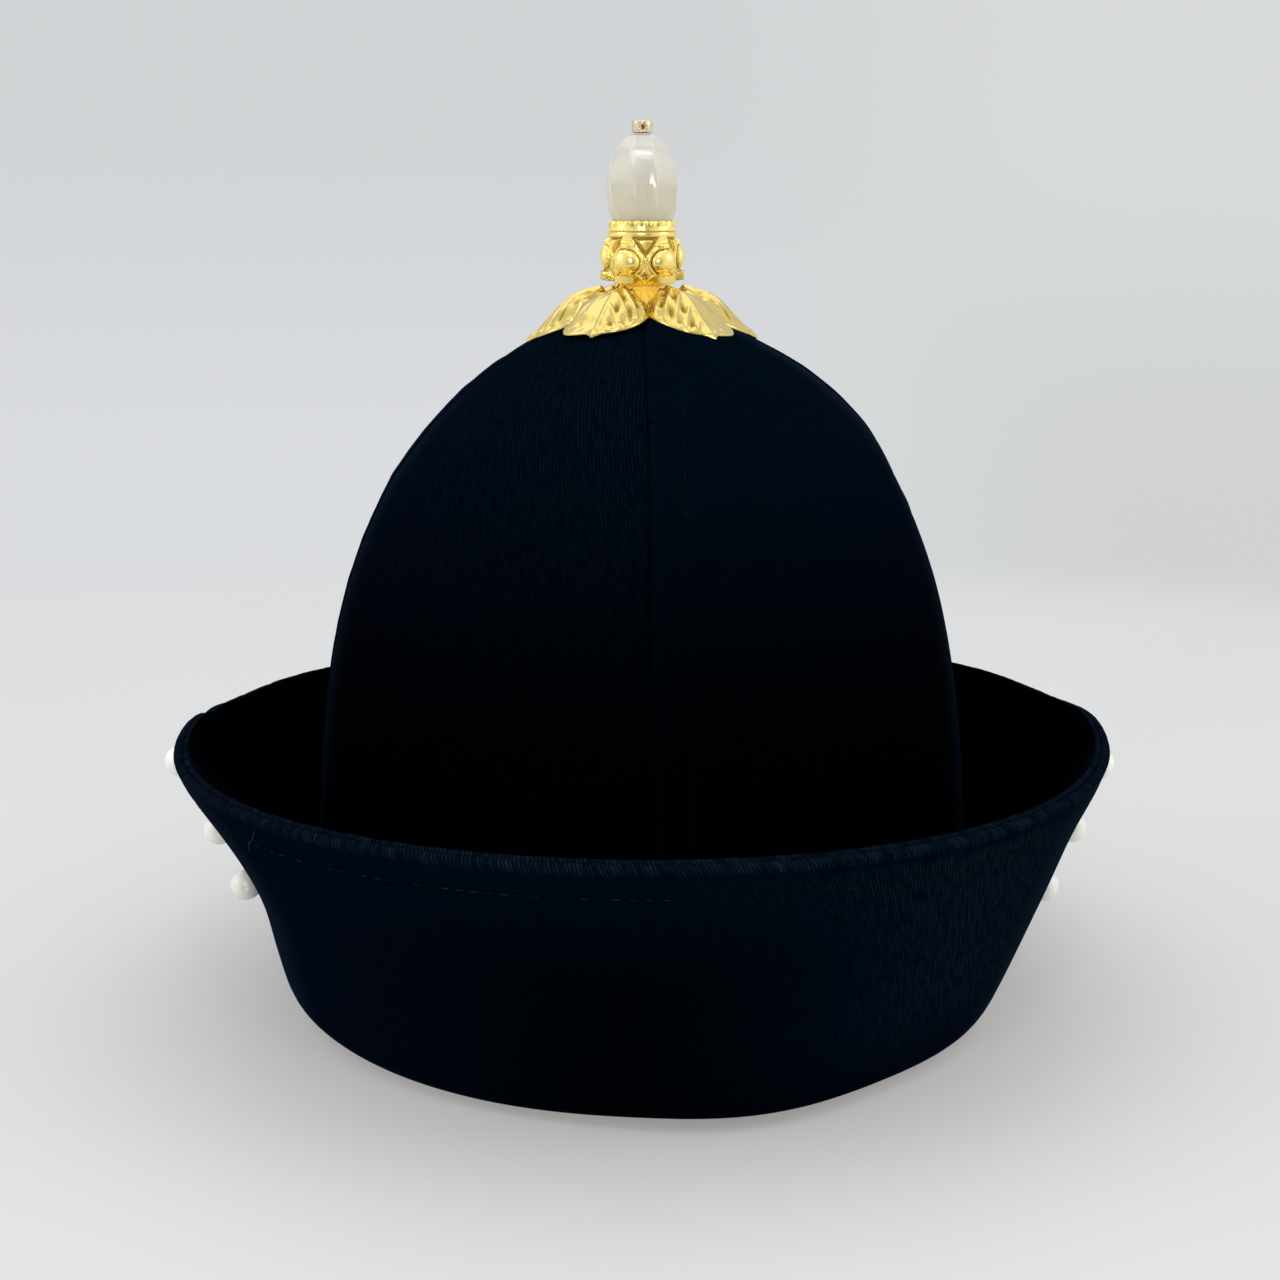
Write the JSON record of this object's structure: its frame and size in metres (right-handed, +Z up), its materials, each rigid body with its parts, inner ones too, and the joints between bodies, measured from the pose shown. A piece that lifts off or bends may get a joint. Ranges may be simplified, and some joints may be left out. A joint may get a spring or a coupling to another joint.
{
  "type": "folded brim hat",
  "caption": "Round-crowned cloth hat with a stiff brim folded up all round, rows of pearls along the front of the brim and a gilt finial with a faceted stone on top.",
  "frame": {"origin": "in the middle of the head opening, on the crown's axis, level with the table that the hat rests on", "axes": "+Z up through the finial, +Y to the front of the hat where the pearls are, +X to the wearer's right"},
  "size_m": [0.2577, 0.2858, 0.2305],
  "materials": {
    "twill": "dark twill with a soft sheen",
    "gold": "polished gilt casting",
    "stone": "milky, cut in facets",
    "pearl": "pearl lustre"
  },
  "bodies": {
    "root": {"brim_inner_layer": "twill", "brim_outer_layer": "twill", "crown_panel_back_left": "twill", "crown_panel_back_right": "twill", "crown_panel_front_left": "twill", "crown_panel_front_right": "twill", "finial_collar": "gold", "finial_crystal": "stone", "finial_cup": "gold", "finial_lantern": "gold", "finial_petal_cap": "gold", "finial_post": "gold", "finial_tip": "gold", "pearl_low_01": "pearl", "pearl_low_02": "pearl", "pearl_low_03": "pearl", "pearl_low_04": "pearl", "pearl_low_05": "pearl", "pearl_low_06": "pearl", "pearl_low_07": "pearl", "pearl_low_08": "pearl", "pearl_low_09": "pearl", "pearl_low_10": "pearl", "pearl_low_11": "pearl", "pearl_low_12": "pearl", "pearl_low_13": "pearl", "pearl_middle_01": "pearl", "pearl_middle_02": "pearl", "pearl_middle_03": "pearl", "pearl_middle_04": "pearl", "pearl_middle_05": "pearl", "pearl_middle_06": "pearl", "pearl_middle_07": "pearl", "pearl_middle_08": "pearl", "pearl_middle_09": "pearl", "pearl_middle_10": "pearl", "pearl_middle_11": "pearl", "pearl_middle_12": "pearl", "pearl_middle_13": "pearl", "pearl_top_01": "pearl", "pearl_top_02": "pearl", "pearl_top_03": "pearl", "pearl_top_04": "pearl", "pearl_top_05": "pearl", "pearl_top_06": "pearl", "pearl_top_07": "pearl", "pearl_top_08": "pearl", "pearl_top_09": "pearl", "pearl_top_10": "pearl", "pearl_top_11": "pearl", "pearl_top_12": "pearl", "pearl_top_13": "pearl"}
  },
  "joints": []
}
